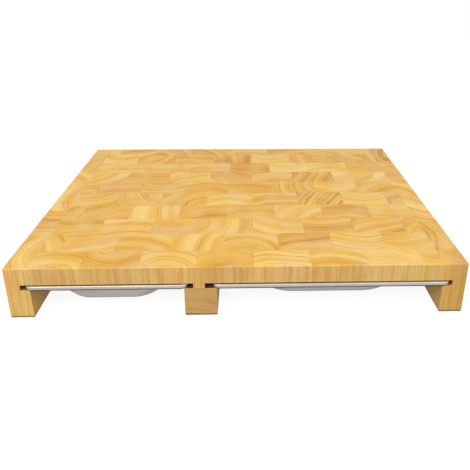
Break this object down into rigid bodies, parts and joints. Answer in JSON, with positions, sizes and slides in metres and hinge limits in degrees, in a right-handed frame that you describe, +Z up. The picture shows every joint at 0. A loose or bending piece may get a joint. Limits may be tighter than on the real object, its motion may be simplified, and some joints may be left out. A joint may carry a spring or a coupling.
{
  "type": "cutting board with drawer trays",
  "caption": "End-grain wooden cutting board raised on three supports, with sheet-steel trays that slide in grooves under it like drawers to catch chopped food.",
  "frame": {"origin": "centre of the bounding box's base, on the surface that the board stands on, 1 mm in front of the board's own middle because the trays' rims stand out 2 mm at the front", "axes": "+X to the right along the board's long side with the small tray at the left, +Y from the front, where the trays come out, to the back, +Z up"},
  "size_m": [0.48, 0.362, 0.06],
  "materials": {
    "end_grain_wood": "oiled satin",
    "rail_wood": "oiled satin",
    "tray_steel": "satin"
  },
  "bodies": {
    "board": {"deck_row_01": "end_grain_wood", "deck_row_02": "end_grain_wood", "deck_row_03": "end_grain_wood", "deck_row_04": "end_grain_wood", "deck_row_05": "end_grain_wood", "deck_row_06": "end_grain_wood", "deck_row_07": "end_grain_wood", "deck_row_08": "end_grain_wood", "deck_row_09": "end_grain_wood", "deck_row_10": "end_grain_wood", "left_panel_block_1": "end_grain_wood", "left_panel_block_2": "end_grain_wood", "left_panel_block_3": "end_grain_wood", "left_panel_block_4": "end_grain_wood", "left_panel_block_5": "end_grain_wood", "left_panel_block_6": "end_grain_wood", "right_panel_block_1": "end_grain_wood", "right_panel_block_2": "end_grain_wood", "right_panel_block_3": "end_grain_wood", "right_panel_block_4": "end_grain_wood", "right_panel_block_5": "end_grain_wood", "right_panel_block_6": "end_grain_wood", "middle_rail": "rail_wood"},
    "small_tray": {"small_tray": "tray_steel"},
    "large_tray": {"large_tray": "tray_steel"}
  },
  "joints": [
    {"name": "small_tray_slide", "type": "slide", "parent": "board", "child": "small_tray", "axis": [0, -1, 0], "range_m": [0, 0.3]},
    {"name": "large_tray_slide", "type": "slide", "parent": "board", "child": "large_tray", "axis": [0, -1, 0], "range_m": [0, 0.3]}
  ]
}
